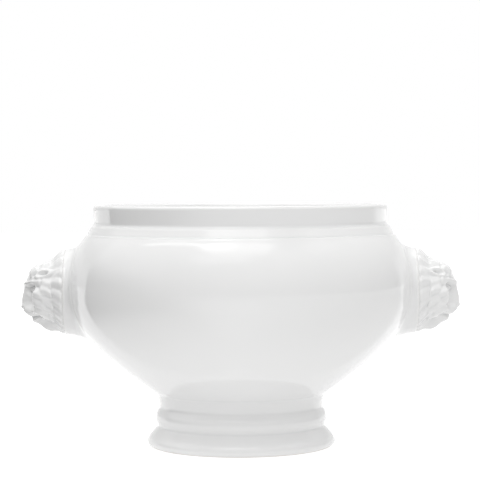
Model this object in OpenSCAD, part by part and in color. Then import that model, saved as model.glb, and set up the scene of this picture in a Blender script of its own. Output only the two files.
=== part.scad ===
// Footed porcelain soup crock with a moulded lion head on each side.
// The origin is on the table under the middle of the bowl. +Z is up and the heads lie along X.

/* [Rim] */
// Outside diameter of the rim
rim_d = 120; // [114:0.5:126]
// Height of the rim above the table
bowl_h = 98.5; // [95:0.5:104]
// Height of the upright band round the rim
band_h = 7; // [5:0.25:9]
// How far the band draws in towards its foot
band_taper = 0.35; // [0:0.05:0.8]
// Thickness of the lip
lip_t = 5; // [4:0.25:6]
// Radius of the lip's outer edge
lip_outer_round = 1.3; // [0.6:0.1:1.8]
// Radius of the lip's inner edge
lip_inner_round = 2.2; // [1:0.1:2.8]
// Radius of the hollow at the foot of the band
cove_round = 1.6; // [0.8:0.1:2.4]

/* [Belly] */
// How far the belly stands out past the rim at its widest
belly_swell = 10.75; // [8:0.25:14]
// Height of the widest place above the table
belly_level = 64.4; // [61:0.5:68]
// How far the small step below the band stands out past the rim
shoulder_swell = 3.25; // [2:0.25:5]
// Height from the foot of the band down to the small step
shoulder_drop = 5.2; // [4:0.2:7]
// Width of the small step
step_w = 0.45; // [0.2:0.05:0.8]
// Thickness of the bowl's wall
wall_t = 4.6; // [3.6:0.2:5.6]
// Thickness of the bowl's floor
floor_t = 6; // [5:0.25:7.5]
// Radius of the hollow where the wall runs into the floor
floor_round = 13; // [8:0.5:18]

/* [Foot] */
// Height of the foot, from the table to the bowl's underside
foot_h = 21.6; // [19:0.2:24]
// Outside diameter where the bowl sits on the foot
seat_d = 70; // [68:0.5:73]
// How far the waist of the foot draws in from the seat
waist_draw = 1.5; // [0.5:0.1:3]
// Height of the waist
waist_level = 16.6; // [15.5:0.1:17.5]
// How far the raised ring stands out from the waist
ring_proud = 1.6; // [0.8:0.1:3]
// Height of the raised ring's crest
ring_level = 11.7; // [11:0.1:12.4]
// Depth of the groove under the raised ring
groove_depth = 1; // [0.4:0.1:2]
// Height of the groove
groove_level = 8.3; // [7.4:0.1:8.8]
// How far the base spreads out from the groove
base_spread = 4.3; // [3:0.1:6]
// Height of the base's widest place
base_level = 2.1; // [1.6:0.1:2.8]
// How far the base draws in again down to the table
base_draw = 1.5; // [0.5:0.1:2.5]
// Width of the ring that stands on the table
stand_w = 4; // [3:0.25:5]
// Thickness of the foot's wall at the seat
foot_wall_t = 6.2; // [5:0.2:7.5]

/* [Lion heads] */
// Height of the heads' axis above the table
head_level = 63; // [60:0.2:66]
// Length of a head from its flat back to the tip of its nose
head_len = 18.4; // [15:0.1:21]
// Diameter of the mane at its widest
mane_d = 35.4; // [32:0.2:38]
// How far the flat pad for a head stands out past the belly
pad_proud = 0.8; // [0.5:0.05:2]
// Diameter of the flat pad
pad_d = 35.2; // [32:0.2:37]
// Diameter of the pad's flare at its far end inside the wall
flare_d = 43; // [40:0.5:47]
// Length of the flare, from the pad back into the wall
flare_len = 13; // [11:0.5:14.5]
// Number of locks in the row next to the face
crown_locks = 13; // [9:2:15]
// Number of locks in the row behind it
face_locks = 17; // [13:2:21]
// Number of locks in the outer row of the mane
mane_locks = 21; // [15:2:25]
// Height of the locks
lock_h = 1.25; // [0.8:0.05:1.5]

/* [Hidden] */

rim_r = rim_d / 2;
belly_r = rim_r + belly_swell;
shoulder_r = rim_r + shoulder_swell;
seat_r = seat_d / 2;
waist_r = seat_r - waist_draw;
ring_r = waist_r + ring_proud;
groove_r = ring_r - groove_depth;
base_r = groove_r + base_spread;
stand_r = base_r - base_draw;
mane_r = mane_d / 2;

band_foot_level = bowl_h - band_h;
band_foot_r = rim_r - band_taper;
shoulder_level = band_foot_level - shoulder_drop;
cavity_floor_level = foot_h + floor_t;
mouth_r = rim_r - lip_t;
pad_x = belly_r + pad_proud;

// How far a cutting shape runs on past the face that it opens
overrun = 5;
// Facets of a full turn, and steps along a curve of the bowl's outline
turn_steps = 128;
curve_steps = 16;
// Steps along a small moulding or edge
edge_steps = 6;

// Points of a cubic curve, a share t along it
function curve_point(p, t) =
    pow(1 - t, 3) * p[0] + 3 * pow(1 - t, 2) * t * p[1]
    + 3 * (1 - t) * t * t * p[2] + pow(t, 3) * p[3];
function curve(p, steps) = [for (i = [0 : steps]) curve_point(p, i / steps)];
function without_first(list) = [for (i = [1 : len(list) - 1]) list[i]];

// Quarter turn about a centre, from one angle to another
function arc(centre, r, from, to, steps) =
    [for (i = [0 : steps]) let (a = from + (to - from) * i / steps)
        centre + r * [cos(a), sin(a)]];

// The two curves of the belly. The handles' lengths are shares of the spans that the curves cross.
shoulder_handle_share = 0.24;
shoulder_lean_share = 0.82;
belly_up_share = 0.42;
belly_down_share = 0.39;
keel_handle_share = 0.285;
keel_lean_share = 1.45;
upper_span = shoulder_level - belly_level;
lower_span = belly_level - foot_h;
shoulder_handle = upper_span * shoulder_handle_share;
keel_handle = lower_span * keel_handle_share;
upper_belly = [
    [shoulder_r, shoulder_level],
    [shoulder_r + shoulder_handle * shoulder_lean_share, shoulder_level - shoulder_handle],
    [belly_r, belly_level + upper_span * belly_up_share],
    [belly_r, belly_level]
];
lower_belly = [
    [belly_r, belly_level],
    [belly_r, belly_level - lower_span * belly_down_share],
    [seat_r + keel_handle * keel_lean_share, foot_h + keel_handle],
    [seat_r, foot_h]
];

// A point of such a curve moved square to it, towards the axis
function inset_point(p, t, depth) =
    let (
        nudge = 0.001,
        way = curve_point(p, min(t + nudge, 1)) - curve_point(p, max(t - nudge, 0)),
        inward = [way[1], -way[0]] / norm(way)
    )
    curve_point(p, t) + depth * inward;
function inset_curve(p, depth, steps) = [for (i = [0 : steps]) inset_point(p, i / steps, depth)];

// Outside of the bowl, from the lip's top down to the middle of its underside
bowl_outside = concat(
    [[0, bowl_h]],
    arc([rim_r - lip_outer_round, bowl_h - lip_outer_round],
        lip_outer_round, 90, 0, edge_steps),
    curve([
        [band_foot_r, band_foot_level],
        [band_foot_r, band_foot_level - cove_round / 2],
        [band_foot_r + cove_round / 4, band_foot_level - cove_round * 3 / 4],
        [band_foot_r + cove_round * 3 / 4, band_foot_level - cove_round]
    ], edge_steps),
    [[shoulder_r - step_w, shoulder_level + step_w / 2]],
    curve(upper_belly, curve_steps),
    without_first(curve(lower_belly, curve_steps + edge_steps)),
    [[0, foot_h]]
);

// Inside of the bowl, from above the mouth down to the middle of its floor
wall_inside = concat(
    inset_curve(upper_belly, wall_t, curve_steps),
    without_first(inset_curve(lower_belly, wall_t, curve_steps + edge_steps))
);
wall_above_floor = [for (p = wall_inside) if (p[1] > cavity_floor_level + floor_round / 2) p];
wall_end = wall_above_floor[len(wall_above_floor) - 1];
cavity = concat(
    [[0, bowl_h + overrun], [mouth_r + lip_inner_round, bowl_h + overrun]],
    arc([mouth_r + lip_inner_round, bowl_h - lip_inner_round],
        lip_inner_round, 90, 180, edge_steps),
    [[mouth_r, band_foot_level]],
    wall_above_floor,
    without_first(curve([
        wall_end,
        [wall_end[0] - floor_round * 3 / 4, wall_end[1] - floor_round / 2],
        [wall_end[0] - floor_round, cavity_floor_level],
        [wall_end[0] - floor_round * 2, cavity_floor_level]
    ], curve_steps)),
    [[0, cavity_floor_level]]
);

// One flared pad, turned about the head's axis, with its flat face at pad_x
module pad_boss() {
    pad_r = pad_d / 2;
    flare_r = flare_d / 2;
    flare_outline = curve([
        [pad_r, 0],
        [pad_r, -flare_len / 3],
        [pad_r + (flare_r - pad_r) / 2, -flare_len * 2 / 3],
        [flare_r, -flare_len]
    ], edge_steps);
    translate([pad_x, 0, head_level])
        rotate([0, 90, 0])
            rotate_extrude($fn = turn_steps)
                polygon(concat([[0, 0]], flare_outline, [[0, -flare_len]]));
}

// Bowl: rim band, belly and floor, with a pad on each side for a head
module bowl() {
    color("whitesmoke")
        difference() {
            union() {
                rotate_extrude($fn = turn_steps) polygon(bowl_outside);
                pad_boss();
                mirror([1, 0, 0]) pad_boss();
            }
            rotate_extrude($fn = turn_steps) polygon(cavity);
        }
}

// Hollow foot: neck, raised ring, groove and spreading base
module pedestal_foot() {
    inside_r = seat_r - foot_wall_t;
    stand_inside_r = stand_r - stand_w;
    neck_drop = foot_h - waist_level;
    neck_handle = (seat_r - waist_r) / 2;
    ring_rise = waist_level - ring_level;
    ring_fall = ring_level - groove_level;
    base_drop = groove_level - base_level;
    outside = concat(
        curve([
            [seat_r, foot_h],
            [seat_r - neck_handle, foot_h - neck_handle / keel_lean_share],
            [waist_r, waist_level + neck_drop / 3],
            [waist_r, waist_level]
        ], edge_steps),
        without_first(curve([
            [waist_r, waist_level],
            [waist_r, waist_level - ring_rise / 3],
            [ring_r, ring_level + ring_rise / 2],
            [ring_r, ring_level]
        ], edge_steps)),
        without_first(curve([
            [ring_r, ring_level],
            [ring_r, ring_level - ring_fall / 2],
            [groove_r, groove_level + ring_fall / 3],
            [groove_r, groove_level]
        ], edge_steps)),
        without_first(curve([
            [groove_r, groove_level],
            [groove_r + (base_r - groove_r) / 3, groove_level - base_drop / 3],
            [base_r, base_level + base_drop / 3],
            [base_r, base_level]
        ], edge_steps)),
        without_first(curve([
            [base_r, base_level],
            [base_r, base_level / 2],
            [stand_r + (base_r - stand_r) / 2, 0],
            [stand_r, 0]
        ], edge_steps))
    );
    inside = curve([
        [stand_inside_r, 0],
        [stand_inside_r - (stand_inside_r - inside_r) / 2, base_level],
        [inside_r, base_level],
        [inside_r, groove_level]
    ], edge_steps);
    color("whitesmoke")
        rotate_extrude($fn = turn_steps)
            polygon(concat(outside, inside, [[inside_r, foot_h]]));
}

// A head is a dome on its flat back. Each of its points lies on a ray from the middle of the back,
// at a lean away from the nose's axis and at an angle round that axis. All lengths in the tables
// of shares are shares of mane_r.
// Radius down the middle of the head in even steps, from the foot of the mane past the nose's axis
// to the top of the mane, and radius at the sides, from the nose's axis to the back
middle_shares = [
    0.925, 0.89, 0.93, 0.935, 0.92, 0.97, 0.995, 1.06, 1.05, 0.985,
    0.965, 0.96, 0.935, 0.87, 0.83, 0.785, 0.8, 0.885, 0.965
];
side_shares = [0.985, 0.925, 0.835, 0.8, 0.815, 0.81, 0.76, 0.74, 0.815, 0.925];
// Half width of the face's middle at each height: beard, chin, muzzle, nose, bridge and forehead
middle_width_shares = [
    [-1, 0.34], [-0.88, 0.3], [-0.8, 0.22], [-0.7, 0.19], [-0.6, 0.3], [-0.45, 0.38],
    [-0.32, 0.24], [-0.22, 0.19], [-0.1, 0.16], [0, 0.15], [0.12, 0.18], [0.26, 0.34],
    [0.42, 0.46], [0.62, 0.5], [1, 0.5]
];
middle_power = 2.6;
// Between these leans the middle's heights give way to its leans
crown_lean = 45;
rim_lean = 80;

// Forms of the face. Each row holds how far out from the middle, how high, how wide, how tall,
// the turn in degrees, the height of the form, and how flat its top is. A form off the middle is
// on both sides. A negative height is a hollow.
face_shares = [
    // Brow and the furrow of the forehead
    [0.31, 0.235, 0.22, 0.06, 12, 0.085, 1.4],
    [0, 0.4, 0.03, 0.15, 0, -0.03, 1],
    // Planes beside the bridge of the nose, tip, wings and nostrils
    [0.1, -0.02, 0.045, 0.22, 4, 0.018, 1.2],
    [0, -0.3, 0.15, 0.065, 0, 0.018, 1.6],
    [0.1, -0.315, 0.06, 0.05, 20, 0.03, 1.3],
    [0.105, -0.345, 0.045, 0.022, 28, -0.05, 1],
    // Pads of the muzzle and the groove between them
    [0.19, -0.445, 0.17, 0.13, -12, 0.06, 1.4],
    [0, -0.48, 0.022, 0.09, 0, -0.055, 1],
    // Mouth, its corners, lower lip and chin
    [0.21, -0.605, 0.17, 0.028, -16, -0.08, 1],
    [0.36, -0.575, 0.05, 0.05, 0, -0.05, 1],
    [0, -0.66, 0.15, 0.035, 0, 0.02, 1.2],
    [0, -0.72, 0.14, 0.07, 0, 0.02, 1.4],
    // Eye socket and the line down from it
    [0.4, 0.085, 0.17, 0.12, 6, -0.085, 1.2],
    [0.26, 0, 0.03, 0.11, 24, -0.035, 1],
    // Cheekbone, cheek and the hollow between them
    [0.6, -0.05, 0.13, 0.12, 20, 0.055, 1.2],
    [0.52, -0.3, 0.14, 0.17, -10, 0.045, 1.2],
    [0.4, -0.17, 0.1, 0.14, 16, -0.02, 1]
];
// Place of the eye and of the ear: how far out, how high, half width, half height and turn
eye_shares = [0.395, 0.085, 0.105, 0.062, 9];
ear_shares = [0.62, 0.53, 0.15, 0.115, 50];
// Height of the eyeball, height of the lids round it, where they run and how wide they are
eyeball_share = 0.062;
lid_share = 0.036;
lid_line_share = 1.08;
lid_width_share = 0.24;
// How much more of it the upper lid has, and the lower lid less
upper_lid_share = 0.35;
// Height of the ear, depth of its hollow, and how much smaller the hollow is
ear_height_share = 0.13;
ear_hollow_share = 0.15;
ear_inside_share = 0.65;
ear_power = 4;
hollow_power = 3;
// How far round an ear the locks stay low, and how much is left of them there
ear_clear_share = 1.22;
ear_lock_share = 0.15;

// Three rows of locks, from the back of the head to the face. Each row holds the number of locks,
// the lean of their roots and of their tips at the sides of the head, how much less both are at
// the top, how far a lock sways, and how far it hangs down, in degrees round the axis.
lock_rows = [
    [mane_locks, 60, 92, 0, 0, 9, 10],
    [face_locks, 50, 73, 0, 3, 12, 12],
    [crown_locks, 33, 59, 4, 11, 12, 14]
];
// For each row: half width of a lock, its height, how far it lies on top of what is behind it,
// and by how many degrees its tip may be long or short
lock_width_shares = [0.175, 0.184, 0.175];
lock_height_shares = [0.92, 0.92, 1];
lock_lift_shares = [0, 0.28, 0.28];
lock_unevenness = [0, 4, 4];
root_unevenness = 3;
// No two neighbouring locks are quite alike: each takes its own values from this list
chance_shares = [0.62, 0.18, 0.85, 0.41, 0.07, 0.73, 0.33, 0.96, 0.52, 0.26, 0.68];
chance_strides = [3, 5, 7];
// How far before its root and past its tip a lock's middle line runs, as shares of its length
lock_run_shares = [-0.3, 1.2];
// How much of its sway a lock takes, which way it leans, and how much widths and heights differ
sway_share = 0.8;
sway_balance_share = 0.35;
lock_wave_share = 0.2;
// How a lock narrows to its tip, how full it is across, and how softly its ends run out
lock_taper_share = 0.62;
lock_taper_power = 4;
lock_crown_power = 0.9;
root_softness_share = 0.55;
tip_softness_share = 0.24;
root_height_share = 0.75;
// Radius at which a lock's width is measured, and the smallest lean for that
lock_girth_share = 0.92;
steepest_lock_lean = 20;
// How far round the axis from its root a lock may reach
lock_reach_angle = 50;

head_rings = 40;
head_sides = 80;
// Lean of the last ring, which lies in the plane of the flat back
back_lean = 90;
// Rings lie closer together towards the back
ring_power = 0.9;
// Length of the nose in a head whose mane_r and stretch are 1
nose_share = 1.049;

function clamp(x, low, high) = min(max(x, low), high);
function smooth_step(x) = let (c = clamp(x, 0, 1)) c * c * (3 - 2 * c);

// Value of a table with even steps at a place in it, with smooth joints between its values
function spline(table, place) =
    let (
        last = len(table) - 1,
        i = clamp(floor(place), 0, last - 1),
        u = place - i,
        a = table[max(i - 1, 0)],
        b = table[i],
        c = table[i + 1],
        d = table[min(i + 2, last)]
    )
    (2 * b + (c - a) * u + (2 * a - 5 * b + 4 * c - d) * u * u
        + (3 * b - a - 3 * c + d) * u * u * u) / 2;

// Radius of the head without its forms and locks
function dome_radius(lean, across, up) =
    let (
        side_step = back_lean / (len(side_shares) - 1),
        middle_step = 2 * back_lean / (len(middle_shares) - 1),
        height = asin(min(abs(up), 1)),
        crown = height + (lean - height) * smooth_step((lean - crown_lean) / (rim_lean - crown_lean)),
        side = spline(side_shares, lean / side_step),
        middle = spline(middle_shares, (sign(up) * crown + back_lean) / middle_step),
        away = abs(across) / lookup(up, middle_width_shares)
    )
    side + (middle - side) * exp(-pow(away, middle_power));

// A place across and up, as seen from a form's own middle, in its own half widths
function from_form(form, across, up) =
    let (off = abs(across) - form[0], rise = up - form[1])
    [
        (off * cos(form[4]) + rise * sin(form[4])) / form[2],
        (rise * cos(form[4]) - off * sin(form[4])) / form[3]
    ];
function form_height(form, across, up) =
    form[5] * exp(-pow(norm(from_form(form, across, up)), 2 * form[6]));
function eye_height(across, up) =
    let (
        place = from_form(eye_shares, across, up),
        away = norm(place),
        lid = exp(-pow((away - lid_line_share) / lid_width_share, 2))
    )
    eyeball_share * sqrt(max(1 - away * away, 0))
    + lid_share * lid * (1 + upper_lid_share * clamp(place[1], -1, 1));
function ear_height(across, up) =
    let (away = norm(from_form(ear_shares, across, up)))
    ear_height_share * exp(-pow(away, ear_power))
    - ear_hollow_share * exp(-pow(away / ear_inside_share, hollow_power));
function face_height(across, up) =
    [for (form = face_shares) form_height(form, across, up)] * [for (form = face_shares) 1]
    + eye_height(across, up) + ear_height(across, up);

// All locks: the row, the angle of the root, the side of the head, its own three values,
// and the lean of root and tip
function own_value(i, stride) = chance_shares[(i * stride + stride) % len(chance_shares)];
locks = [
    for (row = [0 : len(lock_rows) - 1])
        for (i = [0 : lock_rows[row][0] - 1])
            let (
                form = lock_rows[row],
                twin = min(i, form[0] - 1 - i),
                angle = 360 * (i + 1 / 2) / form[0] - 90,
                chance = [for (stride = chance_strides) own_value(twin, stride + row)],
                root = form[1] - form[3] * sin(angle) + root_unevenness * (chance[0] - 1 / 2),
                tip = form[2] - form[4] * sin(angle) + lock_unevenness[row] * (chance[1] - 1 / 2)
            )
            [row, angle, 2 * i + 1 == form[0] ? 0 : cos(angle) < 0 ? -1 : 1, chance, root, tip]
];

function turn_between(a, b) = ((a - b) % 360 + 540) % 360 - 180;
function locks_near(angle) =
    [for (lock = locks) if (abs(turn_between(angle, lock[1])) < lock_reach_angle) lock];

// Height of one lock above the dome at a lean and an angle
function lock_body(lock, lean, angle) =
    let (
        row = lock[0],
        form = lock_rows[row],
        chance = lock[3],
        u = (lean - lock[4]) / (lock[5] - lock[4]),
        along = clamp(u, lock_run_shares[0], lock_run_shares[1]),
        hang = form[6] * cos(lock[1]) * abs(cos(lock[1])) * along,
        sway = lock[2] * form[5] * (chance[2] - sway_balance_share) * sin(180 * along) * sway_share,
        off = turn_between(angle, lock[1] - hang * abs(lock[2]) + sway),
        girth = PI / 180 * sin(max(lean, steepest_lock_lean)) * lock_girth_share,
        taper = 1 - lock_taper_share * pow(clamp(u, 0, 1), lock_taper_power),
        width = lock_width_shares[row] * (1 + lock_wave_share * (chance[0] - 1 / 2)) * taper,
        bulge = pow(max(1 - pow(off * girth / width, 2), 0), lock_crown_power),
        ends = smooth_step(u / root_softness_share + 1 / 2) * smooth_step((1 - u) / tip_softness_share),
        rise = root_height_share + (1 - root_height_share) * clamp(u, 0, 1)
    )
    (lock_lift_shares[row] + lock_height_shares[row] * (1 + lock_wave_share * (chance[2] - 1 / 2)))
    * bulge * ends * rise;

// Point of the head's skin
function skin_point(near, lean, angle) =
    let (
        ray = [cos(lean), sin(lean) * cos(angle), sin(lean) * sin(angle)],
        ear_away = norm(from_form(ear_shares, ray[1], ray[2])) / ear_clear_share,
        bare = 1 - (1 - ear_lock_share) * exp(-pow(ear_away, hollow_power)),
        lock = max([0, for (one = near) lock_body(one, lean, angle)]),
        r = mane_r * (dome_radius(lean, ray[1], ray[2]) + face_height(ray[1], ray[2]))
            + lock_h * lock * bare,
        stretch = head_len / (nose_share * mane_r)
    )
    [r * ray[0] * stretch, r * ray[1], r * ray[2]];

// Head with its flat back in the YZ plane and its nose towards +X
module head_skin() {
    leans = [for (i = [1 : head_rings]) back_lean * pow(i / head_rings, ring_power)];
    columns = [for (j = [0 : head_sides - 1])
        let (angle = 360 * j / head_sides, near = locks_near(angle))
        [for (lean = leans) skin_point(near, lean, angle)]];
    rings = [for (i = [0 : head_rings - 1]) for (column = columns) column[i]];
    tip = len(rings);
    back = tip + 1;
    rim = (head_rings - 1) * head_sides;
    polyhedron(
        points = concat(rings, [skin_point([], 0, 0), [0, 0, 0]]),
        faces = concat(
            [for (i = [0 : head_rings - 2]) for (j = [0 : head_sides - 1])
                [i * head_sides + j, i * head_sides + (j + 1) % head_sides,
                    (i + 1) * head_sides + j]],
            [for (i = [0 : head_rings - 2]) for (j = [0 : head_sides - 1])
                [i * head_sides + (j + 1) % head_sides,
                    (i + 1) * head_sides + (j + 1) % head_sides, (i + 1) * head_sides + j]],
            [for (j = [0 : head_sides - 1]) [j, tip, (j + 1) % head_sides]],
            [for (j = [0 : head_sides - 1]) [back, rim + j, rim + (j + 1) % head_sides]]
        )
    );
}

module lion_head_right() {
    color("whitesmoke")
        translate([pad_x, 0, head_level]) head_skin();
}

module lion_head_left() {
    color("whitesmoke")
        mirror([1, 0, 0]) translate([pad_x, 0, head_level]) head_skin();
}

bowl();
pedestal_foot();
lion_head_left();
lion_head_right();
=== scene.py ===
import math
import bpy
import bmesh
import numpy as np
from mathutils import Matrix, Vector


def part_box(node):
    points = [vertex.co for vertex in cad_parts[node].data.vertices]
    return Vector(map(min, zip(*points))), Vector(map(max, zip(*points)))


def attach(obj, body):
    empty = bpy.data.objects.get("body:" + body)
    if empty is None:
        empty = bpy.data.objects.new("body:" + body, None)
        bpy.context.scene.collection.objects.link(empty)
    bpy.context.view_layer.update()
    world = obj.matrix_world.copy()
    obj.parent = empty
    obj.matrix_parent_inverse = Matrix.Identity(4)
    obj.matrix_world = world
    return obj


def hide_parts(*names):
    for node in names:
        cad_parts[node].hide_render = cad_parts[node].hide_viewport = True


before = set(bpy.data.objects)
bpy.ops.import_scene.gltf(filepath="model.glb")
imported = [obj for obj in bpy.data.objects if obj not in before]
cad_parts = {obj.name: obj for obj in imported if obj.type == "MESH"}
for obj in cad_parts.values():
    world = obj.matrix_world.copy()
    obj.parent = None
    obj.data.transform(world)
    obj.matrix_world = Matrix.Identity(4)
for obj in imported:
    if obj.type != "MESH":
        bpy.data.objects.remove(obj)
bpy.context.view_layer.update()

mm = 0.001
samePlace = 0.002 * mm                    # points nearer than this are merged
middle = (0, 0, 0)


# Outlines are lists of (radius, level) points
def curve(a, b, c, d, steps):  # from a to d, pulled towards b and c
    points = []
    for i in range(steps + 1):
        t = i / steps
        shares = ((1 - t) ** 3, 3 * (1 - t) ** 2 * t, 3 * (1 - t) * t * t, t ** 3)
        points.append(tuple(sum(k * p for k, p in zip(shares, ends)) for ends in zip(a, b, c, d)))
    return points


def quarter(centre, radius, fromAngle, toAngle, steps):
    points = []
    for i in range(steps + 1):
        a = math.radians(fromAngle + (toAngle - fromAngle) * i / steps)
        points.append((centre[0] + radius * math.cos(a), centre[1] + radius * math.sin(a)))
    return points


def between(a, b, steps):  # points on a straight line, without its two ends
    return [tuple(p + (q - p) * i / steps for p, q in zip(a, b)) for i in range(1, steps)]


def insetOutline(points, depth):  # the same outline, moved square to itself towards the axis
    moved = []
    for i, (r, z) in enumerate(points):
        a = points[max(i - 1, 0)]
        b = points[min(i + 1, len(points) - 1)]
        length = math.hypot(b[0] - a[0], b[1] - a[1])
        moved.append((r + depth * (b[1] - a[1]) / length, z - depth * (b[0] - a[0]) / length))
    return moved


def radiusAt(outline, level, otherwise):  # outline's radius at a level, going down
    for (r0, z0), (r1, z1) in zip(outline[:-1], outline[1:]):
        if z1 <= level <= z0:
            return r0 + (r1 - r0) * (z0 - level) / (z0 - z1)
    return otherwise


def smoothStep(x):
    x = np.clip(x, 0.0, 1.0)
    return x * x * (3 - 2 * x)


def turned(outline, steps):  # spins an outline an eighth of the way, and doubles that three times
    bm = bmesh.new()
    verts = [bm.verts.new((max(r, 0.0), 0.0, z)) for r, z in outline]
    edges = [bm.edges.new(pair) for pair in zip(verts[:-1], verts[1:])]
    bmesh.ops.spin(bm, geom=verts + edges, cent=middle, axis=(0, 0, 1), angle=math.tau / 8,
                   steps=steps // 8, dvec=(0, 0, 0))
    for part in (8, 4, 2):
        made = bmesh.ops.duplicate(bm, geom=bm.verts[:] + bm.edges[:] + bm.faces[:])["geom"]
        bmesh.ops.rotate(bm, verts=[g for g in made if isinstance(g, bmesh.types.BMVert)], cent=middle,
                         matrix=Matrix.Rotation(math.tau / part, 3, "Z"))
    bmesh.ops.remove_doubles(bm, verts=bm.verts, dist=samePlace)
    bmesh.ops.recalc_face_normals(bm, faces=bm.faces)
    return bm


# Seam where the bowl and the foot are luted together
seam = {
    "width": 0.01 * mm,                   # this corner stays crisp
    "reach": 1.5 * mm,                    # the glaze runs across it this far and the mask for pooled glaze and painted shade reads a little deep there
    "bend": 0.1,                          # and lies a little thick there
}


def distanceFromSeam(x, y, z):
    return np.hypot(np.hypot(x, y) - bowl["seatRadius"], z - bowl["underside"])


def poolingAndShadeMask(mesh, reach, rounds):  # 0.5 on a plain surface, more in hollows, less on edges; drives the pooled glaze tint and the painted shade in hollows
    count = len(mesh.vertices)
    places, normals = np.empty(count * 3), np.empty(count * 3)
    mesh.vertices.foreach_get("co", places)
    mesh.vertices.foreach_get("normal", normals)
    places, normals = places.reshape(-1, 3), normals.reshape(-1, 3)
    ends = np.empty(len(mesh.edges) * 2, dtype=int)
    mesh.edges.foreach_get("vertices", ends)
    a, b = ends.reshape(-1, 2).T
    way = places[b] - places[a]
    squared = np.maximum((way * way).sum(1), 1e-12)  # never zero
    total = np.bincount(a, (way * normals[a]).sum(1) / squared, count)
    total -= np.bincount(b, (way * normals[b]).sum(1) / squared, count)
    valence = np.maximum(np.bincount(ends, minlength=count), 1)
    bend = np.clip(total / valence * reach, -1, 1)
    bend[distanceFromSeam(*places.T) < seam["reach"]] = seam["bend"]
    for _ in range(rounds):
        around = np.bincount(a, bend[b], count) + np.bincount(b, bend[a], count)
        bend = 0.5 * bend + 0.5 * around / valence
    layer = mesh.attributes.new("glazePoolAndShade", "FLOAT", "POINT")
    layer.data.foreach_set("value", 0.5 + 0.5 * bend)


def finishPiece(bm, name, node, material, reach=1.2 * mm, rounds=3):
    for edge in bm.edges:
        edge.smooth = any(distanceFromSeam(*v.co) > seam["width"] for v in edge.verts)
    mesh = bpy.data.meshes.new(name)
    bm.to_mesh(mesh)
    bm.free()
    for face in mesh.polygons:
        face.use_smooth = True
    poolingAndShadeMask(mesh, reach, rounds)
    mesh.materials.append(material)
    piece = bpy.data.objects.new(name, mesh)
    bpy.context.scene.collection.objects.link(piece)
    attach(piece, "root")
    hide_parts(node)
    print(name, "has", len(mesh.vertices), "vertices")


# Node trees
def addNode(tree, kind, **settings):
    node = tree.nodes.new(kind)
    for key, value in settings.items():
        if key in node.inputs:
            node.inputs[key].default_value = value
        else:
            setattr(node, key, value)
    return node


def feed(tree, socket, value):  # writes a number or colour into a socket, or links an output to it
    if isinstance(value, (int, float, tuple)):
        socket.default_value = value
    else:
        tree.links.new(value, socket)


def sumUp(tree, operation, *values):  # one step of arithmetic
    node = addNode(tree, "ShaderNodeMath", operation=operation)
    for socket, value in zip(node.inputs, values):
        feed(tree, socket, value)
    return node.outputs[0]


def mixed(tree, share, a, b):
    return sumUp(tree, "MULTIPLY_ADD", share, sumUp(tree, "SUBTRACT", b, a), a)


def mixedColour(tree, share, a, b):
    node = addNode(tree, "ShaderNodeMix", data_type="RGBA")
    for socket, value in zip((node.inputs[0], node.inputs[6], node.inputs[7]), (share, a, b)):
        feed(tree, socket, value)
    return node.outputs[2]


def remap(tree, value, source, target=(0.0, 1.0), **settings):  # source's two ends become target's
    node = addNode(tree, "ShaderNodeMapRange", **settings)
    for name, end in zip(("From Min", "From Max", "To Min", "To Max"), source + target):
        node.inputs[name].default_value = end
    feed(tree, node.inputs["Value"], value)
    return node.outputs["Result"]


def noise(tree, place, scale, detail):
    node = addNode(tree, "ShaderNodeTexNoise", Scale=scale, Detail=detail)
    feed(tree, node.inputs["Vector"], place)
    return node.outputs["Fac"]


def layOut(tree):  # in the node editor, what feeds a node stands to its left
    columnWidth, rowHeight = 220, 320
    columns = {node.name: 0 for node in tree.nodes}
    links = [(link.from_node.name, link.to_node.name) for link in tree.links]
    for _ in columns:
        for source, target in links:
            columns[source] = max(columns[source], columns[target] + 1)
    filled = {}
    for node in tree.nodes:
        column = columns[node.name]
        filled[column] = filled.get(column, 0) + 1
        node.location = (-columnWidth * column, -rowHeight * filled[column])


# Fired glaze over porcelain
glaze = {
    "body": (0.81, 0.81, 0.808, 1),       # white body seen through clear glaze
    "pooledAndShaded": (0.735, 0.74, 0.742, 1),    # pooled glaze tint with painted shade, in a hollow
    "pooledAndShadedInCarving": (0.55, 0.56, 0.565, 1),  # painted shade between the locks of a mane, darker still, over the pooled glaze tint
    "thin": (0.83, 0.825, 0.815, 1),      # where it draws off an edge
    "pooledAndShadedFrom": (0.52, 0.85),           # mask value where pooled glaze and painted shade start and where they are full
    "thinFrom": (0.46, 0.15),             # the same for thin glaze
    "roughness": 0.04,
    "ior": 1.6,
    "cloudScale": 28.0,                   # slow change of tone and gloss
    "cloudTone": (0.975, 1.015),
    "cloudRoughness": (0.85, 1.25),
    "speckScale": 95.0,                   # a few pin-sized specks fired into the glaze
    "speckSize": (0.012, 0.026),
    "speckChoice": (0.90, 0.92),
    "speckColour": (0.30, 0.26, 0.22, 1),
    "speckStrength": 0.22,
    "rippleSize": 16 * mm,                # slow waves of the fired glaze
    "rippleHeight": 0.012 * mm,
    "peelSize": 1.6 * mm,                 # fine orange peel
    "peelHeight": 0.0006 * mm,
}

# Unglazed ring that the crock stands on
biscuit = {
    "colour": (0.74, 0.72, 0.69, 1),
    "darkGrain": 0.93,
    "grainScale": 1600.0,
    "roughness": 0.75,
    "edge": (0.35 * mm, 0.25 * mm),       # height above the bare level where the glaze thins and ends
    "waver": 0.5 * mm,
    "waverScale": 130.0,
}


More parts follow.
